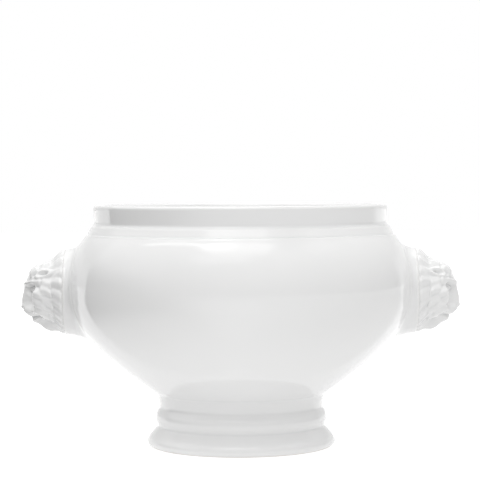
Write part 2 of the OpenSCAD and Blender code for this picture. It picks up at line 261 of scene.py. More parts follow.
def glazeGroup():  # colour, roughness and height of fired glaze; the colour holds painted shade in hollows
    group = bpy.data.node_groups.new("firedGlaze", "ShaderNodeTree")
    sockets = (("Vector", "Vector", "INPUT"), ("PoolAndShade", "Float", "INPUT"), ("Body", "Color", "INPUT"),
               ("PooledAndShaded", "Color", "INPUT"), ("Thin", "Color", "INPUT"),
               ("Roughness", "Float", "INPUT"), ("Colour", "Color", "OUTPUT"),
               ("Roughness", "Float", "OUTPUT"), ("Height", "Float", "OUTPUT"))
    for name, kind, way in sockets:
        group.interface.new_socket(name=name, in_out=way, socket_type="NodeSocket" + kind)
    into = addNode(group, "NodeGroupInput").outputs
    out = addNode(group, "NodeGroupOutput").inputs
    cloud = noise(group, into["Vector"], glaze["cloudScale"], 3.0)
    # painted shade with the pooled glaze tint in hollows, read from the curvature mask
    pooledAndShaded = remap(group, into["PoolAndShade"], glaze["pooledAndShadedFrom"])
    colour = mixedColour(group, pooledAndShaded, into["Body"], into["PooledAndShaded"])
    thin = remap(group, into["PoolAndShade"], glaze["thinFrom"])
    colour = mixedColour(group, thin, colour, into["Thin"])
    clouded = addNode(group, "ShaderNodeVectorMath", operation="MULTIPLY")
    feed(group, clouded.inputs[0], colour)
    feed(group, clouded.inputs[1], remap(group, cloud, (0.0, 1.0), glaze["cloudTone"]))
    specks = addNode(group, "ShaderNodeTexVoronoi", Scale=glaze["speckScale"], Randomness=1.0)
    feed(group, specks.inputs["Vector"], into["Vector"])
    dot = remap(group, specks.outputs["Distance"], glaze["speckSize"], (1.0, 0.0))
    chosen = remap(group, specks.outputs["Color"], glaze["speckChoice"])
    speck = sumUp(group, "MULTIPLY", sumUp(group, "MULTIPLY", dot, chosen), glaze["speckStrength"])
    feed(group, out["Colour"], mixedColour(group, speck, clouded.outputs[0], glaze["speckColour"]))
    wave = noise(group, into["Vector"], 1 / glaze["rippleSize"], 1.0)
    peel = noise(group, into["Vector"], 1 / glaze["peelSize"], 1.0)
    waveHeight = sumUp(group, "MULTIPLY", wave, glaze["rippleHeight"] / mm)
    height = sumUp(group, "MULTIPLY_ADD", peel, glaze["peelHeight"] / mm, waveHeight)
    feed(group, out["Height"], height)
    rough = remap(group, cloud, (0.0, 1.0), glaze["cloudRoughness"])
    feed(group, out["Roughness"], sumUp(group, "MULTIPLY", rough, into["Roughness"]))
    layOut(group)
    return group


firedGlaze = glazeGroup()


def porcelain(name, pooledAndShaded="pooledAndShaded", bareBelow=None):  # below that level the biscuit is left bare
    material = bpy.data.materials.new(name)
    material.use_nodes = True
    tree = material.node_tree
    shader = tree.nodes["Principled BSDF"]
    shader.inputs["IOR"].default_value = glaze["ior"]
    place = addNode(tree, "ShaderNodeTexCoord").outputs["Object"]
    # curvature mask for pooled glaze and painted shade in hollows
    poolAndShade = addNode(tree, "ShaderNodeAttribute", attribute_name="glazePoolAndShade").outputs["Fac"]
    coat = addNode(tree, "ShaderNodeGroup", node_tree=firedGlaze)
    values = {"Vector": place, "PoolAndShade": poolAndShade, "Body": glaze["body"], "PooledAndShaded": glaze[pooledAndShaded],
              "Thin": glaze["thin"], "Roughness": glaze["roughness"]}
    for socket, value in values.items():
        feed(tree, coat.inputs[socket], value)
    bump = addNode(tree, "ShaderNodeBump", Strength=1.0, Distance=mm)
    feed(tree, bump.inputs["Height"], coat.outputs["Height"])
    feed(tree, shader.inputs["Normal"], bump.outputs["Normal"])
    colour, roughness = coat.outputs["Colour"], coat.outputs["Roughness"]
    if bareBelow is not None:
        split = addNode(tree, "ShaderNodeSeparateXYZ")
        feed(tree, split.inputs[0], place)
        waver = noise(tree, place, biscuit["waverScale"], 2.0)
        level = sumUp(tree, "MULTIPLY_ADD", waver, biscuit["waver"], split.outputs["Z"])
        bare = remap(tree, level, tuple(bareBelow + end for end in biscuit["edge"]))
        dark = tuple(biscuit["darkGrain"] * c for c in biscuit["colour"][:3]) + (1,)
        grain = noise(tree, place, biscuit["grainScale"], 3.0)
        colour = mixedColour(tree, bare, colour, mixedColour(tree, grain, dark, biscuit["colour"]))
        roughness = mixed(tree, bare, roughness, biscuit["roughness"])
    feed(tree, shader.inputs["Base Color"], colour)
    feed(tree, shader.inputs["Roughness"], roughness)
    layOut(tree)
    return material


bowlGlaze = porcelain("bowlGlaze")
footGlaze = porcelain("footGlaze", bareBelow=0.5 * mm)
# the heads get a darker painted shade in the hollows between their locks
headGlaze = porcelain("headGlaze", pooledAndShaded="pooledAndShadedInCarving")

# Camera, where the photograph was taken from: metres, degrees, and millimetres for lens and sensor
camera = {"place": (0, -0.717, 0.1078), "tilt": 88.09, "roll": 0.3, "lens": 131.25, "sensor": 36}
lens = bpy.data.cameras.new("camera")
lens.lens = camera["lens"]
lens.sensor_width = camera["sensor"]
cameraObject = bpy.data.objects.new("camera", lens)
cameraObject.location = camera["place"]
cameraObject.rotation_euler = (math.radians(camera["tilt"]), math.radians(camera["roll"]), 0)
bpy.context.scene.collection.objects.link(cameraObject)
bpy.context.scene.camera = cameraObject

# Bowl
bowl = {
    "height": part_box("bowl")[1].z,
    "underside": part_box("bowl")[0].z,
    "bellyRadius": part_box("bowl")[1].y,
    "rimRadius": 60 * mm,
    "bandHeight": 7 * mm,
    "bandTaper": 0.35 * mm,
    "lip": 5 * mm,
    "lipOuterRound": 1.3 * mm,
    "lipInnerRound": 2.2 * mm,
    "cove": 1.6 * mm,
    "shoulderRadius": 63.25 * mm,
    "shoulderLevel": 86.3 * mm,
    # the small step over the shoulder: back and up from its edge
    "step": ((0, 0), (0.04 * mm, 0.1 * mm), (0.12 * mm, 0.17 * mm), (0.45 * mm, 0.216 * mm),
             (0.57 * mm, 0.279 * mm)),
    "bellyLevel": 64.4 * mm,
    "seatRadius": 35 * mm,
    # how far the belly's outline keeps its direction, in shares of the height over and under its widest
    "shoulderPull": 0.24,
    "shoulderSlope": 0.82,                # out for each step down
    "overPull": 0.42,
    "underPull": 0.39,
    "seatPull": 0.285,
    "seatSlope": 1.45,                    # out for each step up
    "wall": 4.6 * mm,
    "neckStart": 1 * mm,                  # below the lip's inner rounding
    "neckPull": 5 * mm,
    "innerPull": (0.6 * mm, 3 * mm),      # in and up from the inside of the shoulder
    "floor": 6 * mm,
    "floorRound": 13 * mm,
    "floorRings": (0.8, 0.55, 0.3, 0.1, 0),
    "undersideRings": (0, 0.2, 0.5, 0.8, 0.97),
    "turnSteps": 256,
}

upperSpan = bowl["shoulderLevel"] - bowl["bellyLevel"]
lowerSpan = bowl["bellyLevel"] - bowl["underside"]
shoulderDrop = upperSpan * bowl["shoulderPull"]
seatRise = lowerSpan * bowl["seatPull"]
upperBelly = curve(
    (bowl["shoulderRadius"], bowl["shoulderLevel"]),
    (bowl["shoulderRadius"] + shoulderDrop * bowl["shoulderSlope"],
     bowl["shoulderLevel"] - shoulderDrop),
    (bowl["bellyRadius"], bowl["bellyLevel"] + upperSpan * bowl["overPull"]),
    (bowl["bellyRadius"], bowl["bellyLevel"]), 24)
lowerBelly = curve(
    (bowl["bellyRadius"], bowl["bellyLevel"]),
    (bowl["bellyRadius"], bowl["bellyLevel"] - lowerSpan * bowl["underPull"]),
    (bowl["seatRadius"] + seatRise * bowl["seatSlope"], bowl["underside"] + seatRise),
    (bowl["seatRadius"], bowl["underside"]), 60)
bellyOutline = upperBelly + lowerBelly[1:]


def bowlOutline():  # from the middle of the underside, up the outside, over the lip and down the inside
    height, rim, cove = bowl["height"], bowl["rimRadius"], bowl["cove"]
    bandFoot, bandFootRadius = height - bowl["bandHeight"], rim - bowl["bandTaper"]
    under = [(bowl["seatRadius"] * k, bowl["underside"]) for k in bowl["undersideRings"]]
    outer = list(reversed(bellyOutline))
    step = [(bowl["shoulderRadius"] - back, bowl["shoulderLevel"] + up) for back, up in bowl["step"]]
    coveCurve = curve((bandFootRadius + cove * 0.75, bandFoot - cove),
                      (bandFootRadius + cove * 0.25, bandFoot - cove * 0.75),
                      (bandFootRadius, bandFoot - cove * 0.5),
                      (bandFootRadius, bandFoot), 10)
    slope = between(step[-1], coveCurve[0], 6)
    edge = bowl["lipOuterRound"]
    lipOut = quarter((rim - edge, height - edge), edge, 0, 90, 10)
    band = between((bandFootRadius, bandFoot), (rim, lipOut[0][1]), 6)
    mouth, edge = rim - bowl["lip"], bowl["lipInnerRound"]
    lipIn = quarter((mouth + edge, height - edge), edge, 90, 180, 12)
    cavityFloor, hollowRound = bowl["underside"] + bowl["floor"], bowl["floorRound"]
    inner = insetOutline(bellyOutline, bowl["wall"])
    inner = [p for p in inner if p[1] > cavityFloor + hollowRound / 2]
    (innerRadius, innerLevel), lipLevel = inner[0], lipIn[-1][1]
    neck = curve((mouth, lipLevel - bowl["neckStart"]), (mouth, lipLevel - bowl["neckPull"]),
                 (innerRadius - bowl["innerPull"][0], innerLevel + bowl["innerPull"][1]), inner[0], 10)
    end = inner[-1]
    hollow = curve(end, (end[0] - hollowRound * 0.75, end[1] - hollowRound * 0.5),
                   (end[0] - hollowRound, cavityFloor), (end[0] - hollowRound * 2, cavityFloor), 22)
    floor = [(hollow[-1][0] * k, cavityFloor) for k in bowl["floorRings"]]
    outside = under + outer + step[1:] + slope + coveCurve + band + lipOut
    return outside + lipIn[1:] + neck + inner[1:] + hollow[1:] + floor


def bellyRadiusAt(level):
    return radiusAt(bellyOutline, level, bowl["shoulderRadius"])


# Boss on the wall that carries a head
boss = {
    "face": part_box("lion_head_right")[0].x,
    "level": 63 * mm,
    "radius": 17.6 * mm,
    "flareRadius": 21.5 * mm,
    "flareLength": 13 * mm,
    "flareSlope": 0.3,                    # past that length
    "rimRound": 0.55 * mm,
    "faceRing": 1.5 * mm,                 # innermost ring, this far inside the edge of the face
    "fillet": 3.0 * mm,
    "filletShare": 0.8,                   # of the boss's height at most
    "filletPull": 0.62,
    "skirtRings": (0.3, 0.55, 0.78, 0.92),  # shares of the way from the opening to the fillet
    "skirtWidth": 0.4 * mm,               # at least
    "meetsWithin": (-1 * mm, 5 * mm),     # where the flare meets the belly, past its two radii
    "blockWidth": 19.6,                   # degrees of the wall taken out on each side of the axis
    "blockTop": 85.4 * mm,
    "blockFoot": 35.2 * mm,
    "blockDepth": 1 * mm,
}

flareSide = curve((boss["radius"], 0), (boss["radius"], -boss["flareLength"] / 3),
                  ((boss["radius"] + boss["flareRadius"]) / 2, -boss["flareLength"] * 2 / 3),
                  (boss["flareRadius"], -boss["flareLength"]), 40)


def flareRadiusAt(depth):
    beyond = boss["flareRadius"] + (depth - boss["flareLength"]) * boss["flareSlope"]
    return radiusAt(flareSide, -depth, beyond if depth > 0 else boss["radius"])


def bellyDepth(out, angle):  # how far the belly's skin lies behind the boss's face there
    across = out * math.cos(angle)
    radius = bellyRadiusAt(boss["level"] + out * math.sin(angle))
    return boss["face"] - math.sqrt(max(radius * radius - across * across, 0))


def bossRings(angle, edgeOut):  # (distance from the axis, depth behind the face), from the wall inwards
    low, high = boss["radius"] + boss["meetsWithin"][0], boss["flareRadius"] + boss["meetsWithin"][1]
    for _ in range(30):  # halves the range until the flare meets the belly
        out = (low + high) / 2
        if flareRadiusAt(bellyDepth(out, angle)) > out:
            low = out
        else:
            high = out
    depth, rimRound = bellyDepth(out, angle), boss["rimRound"]
    reach = min(boss["fillet"], edgeOut - out - boss["skirtWidth"])
    rise = min(boss["fillet"], boss["filletShare"] * (depth - rimRound))
    start = (out + reach, bellyDepth(out + reach, angle))
    end = (flareRadiusAt(depth - rise), depth - rise)
    rings = []
    for share in boss["skirtRings"]:
        r = edgeOut + (start[0] - edgeOut) * share
        rings.append((r, bellyDepth(r, angle)))
    pulls = [tuple(s + (c - s) * boss["filletPull"] for s, c in zip(side, (out, depth)))
             for side in (start, end)]
    rings += curve(start, pulls[0], pulls[1], end, 12)
    for i in range(1, 7):
        d = end[1] + (rimRound - end[1]) * i / 7
        rings.append((flareRadiusAt(d), d))
    rings += quarter((boss["radius"] - rimRound, rimRound), rimRound, 0, -90, 6)
    rings.append((boss["radius"] - boss["faceRing"], 0))
    return rings


def raiseBoss(bm, side):
    taken = []
    for face in bm.faces:
        centre = face.calc_center_median()
        if centre.x * side <= 0 or not boss["blockFoot"] < centre.z < boss["blockTop"]:
            continue
        if abs(math.degrees(math.atan2(centre.y, abs(centre.x)))) > boss["blockWidth"]:
            continue
        if math.hypot(centre.x, centre.y) > bellyRadiusAt(centre.z) - boss["blockDepth"]:
            taken.append(face)
    bmesh.ops.delete(bm, geom=taken, context="FACES")
    ring = [e for e in bm.edges if e.is_boundary]
    angles = {}
    for edge in ring:
        for v in edge.verts:
            up = v.co.z - boss["level"]
            angles[v] = (math.atan2(up, v.co.y), math.hypot(up, v.co.y))
    plans = {v: bossRings(a, out) for v, (a, out) in angles.items()}
    for i in range(len(next(iter(plans.values())))):
        made = bmesh.ops.extrude_edge_only(bm, edges=ring)["geom"]
        newVerts = [g for g in made if isinstance(g, bmesh.types.BMVert)]
        oldByPlace = {tuple(round(c, 9) for c in v.co): v for v in angles}
        nextAngles, nextPlans = {}, {}
        for v in newVerts:
            old = oldByPlace[tuple(round(c, 9) for c in v.co)]
            nextAngles[v], nextPlans[v] = angles[old], plans[old]
        for v in newVerts:
            out, depth = nextPlans[v][i]
            angle = nextAngles[v][0]
            v.co = (side * (boss["face"] - depth), out * math.cos(angle),
                    boss["level"] + out * math.sin(angle))
        angles, plans = nextAngles, nextPlans
        ring = [e for e in bm.edges if e.is_boundary]
    bmesh.ops.contextual_create(bm, geom=ring)


bowlMesh = turned(bowlOutline(), bowl["turnSteps"])
for side in (1, -1):
    raiseBoss(bowlMesh, side)
bmesh.ops.recalc_face_normals(bowlMesh, faces=bowlMesh.faces)
finishPiece(bowlMesh, "bowlBody", "bowl", bowlGlaze, reach=1.5 * mm)
print("bowl made")

# Foot
foot = {
    "height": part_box("pedestal_foot")[1].z,
    "baseRadius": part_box("pedestal_foot")[1].x,
    "seatRadius": bowl["seatRadius"],
    "waistRadius": 33.5 * mm,
    "waistLevel": 16.6 * mm,
    "ringRadius": 35.1 * mm,
    "ringLevel": 11.7 * mm,
    "grooveRadius": 34.1 * mm,
    "grooveLevel": 8.3 * mm,
    "baseLevel": 2.1 * mm,
    "standRadius": 36.9 * mm,
    "standWidth": 4 * mm,
    "standRings": (0.33, 0.66),
    "insideRadius": 28.8 * mm,
}


def footOutline():  # from the inside of the seat, down the inside, over the stand and up the outside
    top, seat, inside = foot["height"], foot["seatRadius"], foot["insideRadius"]
    waist, waistLevel = foot["waistRadius"], foot["waistLevel"]
    ringRadius, ringLevel = foot["ringRadius"], foot["ringLevel"]
    grooveRadius, grooveLevel = foot["grooveRadius"], foot["grooveLevel"]
    baseRadius, baseLevel, stand = foot["baseRadius"], foot["baseLevel"], foot["standRadius"]
    standInside = stand - foot["standWidth"]
    hollow = curve((inside, grooveLevel), (inside, baseLevel),
                   (standInside - (standInside - inside) / 2, baseLevel), (standInside, 0), 14)
    ground = [(standInside + foot["standWidth"] * k, 0) for k in foot["standRings"]]
    neckDrop, neckHandle = top - waistLevel, (seat - waist) / 2
    neck = curve((seat, top), (seat - neckHandle, top - neckHandle / bowl["seatSlope"]),
                 (waist, waistLevel + neckDrop / 3), (waist, waistLevel), 20)
    ringRise, ringFall = waistLevel - ringLevel, ringLevel - grooveLevel
    ring = curve((waist, waistLevel), (waist, waistLevel - ringRise / 3),
                 (ringRadius, ringLevel + ringRise / 2), (ringRadius, ringLevel), 16)
    groove = curve((ringRadius, ringLevel), (ringRadius, ringLevel - ringFall / 2),
                   (grooveRadius, grooveLevel + ringFall / 3), (grooveRadius, grooveLevel), 14)
    baseWidth, baseDrop = baseRadius - grooveRadius, grooveLevel - baseLevel
    base = curve((grooveRadius, grooveLevel),
                 (grooveRadius + baseWidth / 3, grooveLevel - baseDrop / 3),
                 (baseRadius, baseLevel + baseDrop / 3), (baseRadius, baseLevel), 20)
    toe = curve((baseRadius, baseLevel), (baseRadius, baseLevel / 2),
                (stand + (baseRadius - stand) / 2, 0), (stand, 0), 12)
    outside = neck + ring[1:] + groove[1:] + base[1:] + toe[1:]
    return [(inside, top)] + hollow + ground + list(reversed(outside)) + [(inside, top)]


footMesh = turned(footOutline(), bowl["turnSteps"])
finishPiece(footMesh, "pedestalFoot", "pedestal_foot", footGlaze)
print("foot made")

# Lion's head: a dome on its flat back, pushed out and in along its rays. Lengths are shares of the
# radius, and a ray's lean is its angle from the nose's axis.
lionHead = {
    "back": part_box("lion_head_right")[0].x,
    "length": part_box("lion_head_right")[1].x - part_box("lion_head_right")[0].x,
    "level": boss["level"],
    "radius": 17.7 * mm,
    "noseShare": 1.049,
    # down the middle from the foot of the mane over the nose to its top, every 10 degrees
    "middle": (0.925, 0.89, 0.93, 0.935, 0.92, 0.97, 0.995, 1.06, 1.05, 0.985,
               0.965, 0.96, 0.935, 0.87, 0.83, 0.785, 0.8, 0.885, 0.965),
    # from the nose's axis out to the sides
    "sides": (0.985, 0.925, 0.835, 0.8, 0.815, 0.81, 0.76, 0.74, 0.815, 0.925),
    # height, and half width of the middle there: beard, chin, muzzle, nose, bridge, forehead
    "middleWidth": ((-1, 0.34), (-0.88, 0.3), (-0.8, 0.22), (-0.7, 0.19), (-0.6, 0.3), (-0.45, 0.38),
                    (-0.32, 0.24), (-0.22, 0.19), (-0.1, 0.16), (0, 0.15), (0.12, 0.18), (0.26, 0.34),
                    (0.42, 0.46), (0.62, 0.5), (1, 0.5)),
    "middleEdge": 2.6,                    # how sharply the middle ends
    "crownFrom": 45,                      # lean from which a ray is read by its lean, not its height
    "crownOver": 35,
    "eye": {"across": 0.395, "up": 0.085, "wide": 0.105, "tall": 0.062, "turn": 9, "ball": 0.062,
            "lid": 0.036, "lidPlace": 1.08, "lidWidth": 0.24, "upperLid": 0.35},
    "ear": {"across": 0.62, "up": 0.53, "wide": 0.15, "tall": 0.115, "turn": 50, "height": 0.13,
            "hollow": 0.15, "hollowSize": 0.65, "bareOfLocks": 0.85, "bareSize": 1.22},
    "rings": 130,
    "ringSpacing": 0.9,                   # under 1 sets them closer at the back
    "roundSides": 320,
    "softening": 6,                       # rounds in which the glaze softens the carving
    "flatBack": 0.01 * mm,                # points up to here aren't softened
}

# Across, up, half width, half height, turn, height and flatness of each form of the face
faceForms = {
    "brow": (0.31, 0.235, 0.22, 0.06, 12, 0.085, 1.4),
    "foreheadFurrow": (0, 0.4, 0.03, 0.15, 0, -0.03, 1),
    "nosePlane": (0.1, -0.02, 0.045, 0.22, 4, 0.018, 1.2),
    "noseTip": (0, -0.3, 0.15, 0.065, 0, 0.018, 1.6),
    "noseWing": (0.1, -0.315, 0.06, 0.05, 20, 0.03, 1.3),
    "nostril": (0.105, -0.345, 0.045, 0.022, 28, -0.05, 1),
    "whiskerPad": (0.19, -0.445, 0.17, 0.13, -12, 0.06, 1.4),
    "lipGroove": (0, -0.48, 0.022, 0.09, 0, -0.055, 1),
    "mouth": (0.21, -0.605, 0.17, 0.028, -16, -0.08, 1),
    "mouthCorner": (0.36, -0.575, 0.05, 0.05, 0, -0.05, 1),
    "lowerLip": (0, -0.66, 0.15, 0.035, 0, 0.02, 1.2),
    "chin": (0, -0.72, 0.14, 0.07, 0, 0.02, 1.4),
    "eyeSocket": (0.4, 0.085, 0.17, 0.12, 6, -0.085, 1.2),
    "tearLine": (0.26, 0, 0.03, 0.11, 24, -0.035, 1),
    "cheekBone": (0.6, -0.05, 0.13, 0.12, 20, 0.055, 1.2),
    "cheek": (0.52, -0.3, 0.14, 0.17, -10, 0.045, 1.2),
    "cheekHollow": (0.4, -0.17, 0.1, 0.14, 16, -0.02, 1),
}

mane = {
    # Rows of locks from the back of the head to the face: how many, the lean of their roots and tips at
    # the sides, how much less both are at the top, their sway and droop in degrees, half width,
    # height, how far they lie on what is behind them, and by how many degrees tips are long or short
    "rows": (
        {"count": 21, "root": 60, "tip": 92, "rootLift": 0, "tipLift": 0, "sway": 9, "droop": 10,
         "wide": 3.1 * mm, "height": 1.15 * mm, "lift": 0.0, "uneven": 0},
        {"count": 17, "root": 50, "tip": 73, "rootLift": 0, "tipLift": 3, "sway": 12, "droop": 12,
         "wide": 3.25 * mm, "height": 1.15 * mm, "lift": 0.35 * mm, "uneven": 4},
        {"count": 13, "root": 33, "tip": 59, "rootLift": 4, "tipLift": 11, "sway": 12, "droop": 14,
         "wide": 3.1 * mm, "height": 1.25 * mm, "lift": 0.35 * mm, "uneven": 4},
    ),
    # each lock takes three of these, so that no two are alike
    "ownValues": (0.62, 0.18, 0.85, 0.41, 0.07, 0.73, 0.33, 0.96, 0.52, 0.26, 0.68),
    "strides": (3, 5, 7),
    "girth": 0.92,                        # share of the head's radius at which widths are measured
    "rootsDiffer": 3,                     # degrees
    "widthsDiffer": 0.2,                  # shares of a lock's width and height
    "heightsDiffer": 0.24,
    "swayFrom": 0.35,                     # own value of a lock that is straight
    "swayShare": 0.8,
    "taper": 0.62,                        # share of its width that a lock loses at its tip
    "rootFade": 0.3,                      # how far behind its root a lock starts, in shares of its run
    "rootRise": 0.55,                     # over how much of its run it comes up, and goes down again
    "tipEnd": 1.02,
    "tipFall": 0.24,
    "runEnd": 1.2,                        # droop and sway go on this far
    "rootHeight": 0.75,                   # share of its height at the root
    "roundness": 0.9,
    "strands": 1.2,                       # grooves in half a lock's width, and their depth
    "strandDepth": 0.1,
    "strandWander": 0.1,                  # how far they bend, how often, and how much that differs
    "strandBends": 5,
    "strandsDiffer": 6,
    "leastLean": 20,                      # nearer the nose a lock grows no narrower
    "softJoin": 0.45 * mm,                # neighbours run into each other under the glaze
    "joinHeight": 0.2 * mm,
    "joinWidth": 1.1,                     # in half widths of a lock
}


def alongTable(table, place):  # smooth curve through evenly spaced values
    table = np.array(table)
    last = len(table) - 1
    i = np.clip(place.astype(int), 0, last - 1)
    u = place - i
    a, b, c, d = table[np.maximum(i - 1, 0)], table[i], table[i + 1], table[np.minimum(i + 2, last)]
    square, cube = 2 * a - 5 * b + 4 * c - d, 3 * b - a - 3 * c + d
    return (2 * b + (c - a) * u + square * u * u + cube * u ** 3) / 2


# A place seen from a form's middle, in its half widths
def fromForm(x, y, wide, tall, turn, across, up):
    c, s = math.cos(math.radians(turn)), math.sin(math.radians(turn))
    off, rise = np.abs(across) - x, up - y
    return (off * c + rise * s) / wide, (rise * c - off * s) / tall


def fromPart(part, across, up):  # the same for the eye and the ear
    return fromForm(*[part[key] for key in ("across", "up", "wide", "tall", "turn")], across, up)


def domeRadius(lean, across, up):
    height = np.degrees(np.arcsin(np.clip(np.abs(up), 0, 1)))
    byLean = smoothStep((lean - lionHead["crownFrom"]) / lionHead["crownOver"])
    crown = height + (lean - height) * byLean
    side = alongTable(lionHead["sides"], lean / 10)
    centre = alongTable(lionHead["middle"], (np.sign(up) * crown + 90) / 10)
    widths = np.array(lionHead["middleWidth"])
    away = np.abs(across) / np.interp(up, widths[:, 0], widths[:, 1])
    return side + (centre - side) * np.exp(-np.minimum(away, 4) ** lionHead["middleEdge"])


def faceHeight(across, up):
    total = np.zeros(len(up))
    for x, y, wide, tall, turn, height, flat in faceForms.values():
        u, v = fromForm(x, y, wide, tall, turn, across, up)
        total += height * np.exp(-np.minimum(u * u + v * v, 9) ** flat)
    eye, ear = lionHead["eye"], lionHead["ear"]
    u, v = fromPart(eye, across, up)
    away = np.hypot(u, v)
    lid = np.exp(-((away - eye["lidPlace"]) / eye["lidWidth"]) ** 2)
    total += eye["ball"] * np.sqrt(np.clip(1 - away ** 2, 0, 1))
    total += eye["lid"] * lid * (1 + eye["upperLid"] * np.clip(v, -1, 1))
    away = np.minimum(np.hypot(*fromPart(ear, across, up)), 3)
    total += ear["height"] * np.exp(-away ** 4)
    total -= ear["hollow"] * np.exp(-(away / ear["hollowSize"]) ** 3)
    return total


def ownOf(i, row, number):  # the same on both sides of the head
    place, values = min(i, row["count"] - 1 - i) + 1, mane["ownValues"]
    return [values[place * (stride + number) % len(values)] for stride in mane["strides"]]


# One lock's height, and the places across it from -1 to 1
def lockBody(i, row, number, lean, angle, girth):
    own = ownOf(i, row, number)
    turn = 360 * (i + 0.5) / row["count"] - 90
    lift, aside = math.sin(math.radians(turn)), math.cos(math.radians(turn))
    side = 0 if 2 * i + 1 == row["count"] else math.copysign(1, aside)
    root = row["root"] - row["rootLift"] * lift + mane["rootsDiffer"] * (own[0] - 0.5)
    tip = row["tip"] - row["tipLift"] * lift + row["uneven"] * (own[1] - 0.5)
    u = (lean - root) / (tip - root)
    run, onLock = np.clip(u, -mane["rootFade"], mane["runEnd"]), np.clip(u, 0, 1)
    droop = row["droop"] * aside * abs(aside * side) * run
    sway = side * row["sway"] * (own[2] - mane["swayFrom"])
    sway = sway * np.sin(math.pi * run) * mane["swayShare"]
    off = (angle - (turn - droop + sway) + 180) % 360 - 180
    wide = row["wide"] * (1 + mane["widthsDiffer"] * (own[0] - 0.5))
    wide = wide * (1 - mane["taper"] * onLock ** 4)
    across = off * girth / wide
    bulge = np.clip(1 - across ** 2, 0, None) ** mane["roundness"]
    bends = mane["strandBends"] * run + mane["strandsDiffer"] * own[1]
    wave = across * mane["strands"] + mane["strandWander"] * np.sin(bends)
    strand = 1 - mane["strandDepth"] * (0.5 - 0.5 * np.cos(math.tau * wave))
    ends = smoothStep((u + mane["rootFade"]) / mane["rootRise"])
    ends *= smoothStep((mane["tipEnd"] - u) / mane["tipFall"])
    ends *= mane["rootHeight"] + (1 - mane["rootHeight"]) * onLock
    height = row["lift"] + row["height"] * (1 + mane["heightsDiffer"] * (own[2] - 0.5))
    return height * bulge * strand * ends, across


def lockHeight(lean, angle):
    total, soft = np.zeros(len(lean)), mane["softJoin"]
    girth = math.radians(mane["girth"] * lionHead["radius"])
    girth = girth * np.sin(np.radians(np.maximum(lean, mane["leastLean"])))
    for number, row in enumerate(mane["rows"]):
        for i in range(row["count"]):
            body, across = lockBody(i, row, number, lean, angle, girth)
            blend = np.clip(soft - np.abs(total - body), 0, None) / soft
            filled = blend ** 2 * soft / 4 * np.clip(body / mane["joinHeight"], 0, 1)
            near = np.abs(across) < mane["joinWidth"]
            total = np.where(near, np.maximum(total, body) + filled, total)
    return total


def sculptHead():
    size, ear = lionHead["radius"], lionHead["ear"]
    stretch = lionHead["length"] / (lionHead["noseShare"] * size)
    shares = [(i / lionHead["rings"]) ** lionHead["ringSpacing"] for i in range(lionHead["rings"] + 1)]
    leans = [math.radians(90 * share) for share in shares]
    bm = turned([(math.sin(a), math.cos(a)) for a in leans], lionHead["roundSides"])
    bmesh.ops.contextual_create(bm, geom=[e for e in bm.edges if e.is_boundary])
    bmesh.ops.rotate(bm, verts=bm.verts, cent=middle, matrix=Matrix.Rotation(math.radians(90), 3, "Y"))
    rays = np.array([v.co.normalized() for v in bm.verts])
    out, across, up = rays.T
    lean = np.degrees(np.arccos(np.clip(out, 0, 1)))
    angle = np.degrees(np.arctan2(up, across))
    fromEar = np.hypot(*fromPart(ear, across, up)) / ear["bareSize"]
    bare = 1 - ear["bareOfLocks"] * np.exp(-np.minimum(fromEar, 3) ** 3)
    r = size * (domeRadius(lean, across, up) + faceHeight(across, up)) + lockHeight(lean, angle) * bare
    places = rays * r[:, None] * (stretch, 1, 1)
    for v, place in zip(bm.verts, places.tolist()):
        v.co = place
    carved = [v for v in bm.verts if v.co.x > lionHead["flatBack"]]
    for _ in range(lionHead["softening"]):
        bmesh.ops.smooth_vert(bm, verts=carved, factor=0.5,
                              use_axis_x=True, use_axis_y=True, use_axis_z=True)
    bmesh.ops.recalc_face_normals(bm, faces=bm.faces)
    return bm


for name, node, turn in (("lionHeadRight", "lion_head_right", 0),
                         ("lionHeadLeft", "lion_head_left", 180)):
    head = sculptHead()
    bmesh.ops.translate(head, verts=head.verts, vec=(lionHead["back"], 0, lionHead["level"]))
    bmesh.ops.rotate(head, verts=head.verts, cent=middle,
                     matrix=Matrix.Rotation(math.radians(turn), 3, "Z"))
    finishPiece(head, name, node, headGlaze, reach=0.8 * mm)
print("heads made")

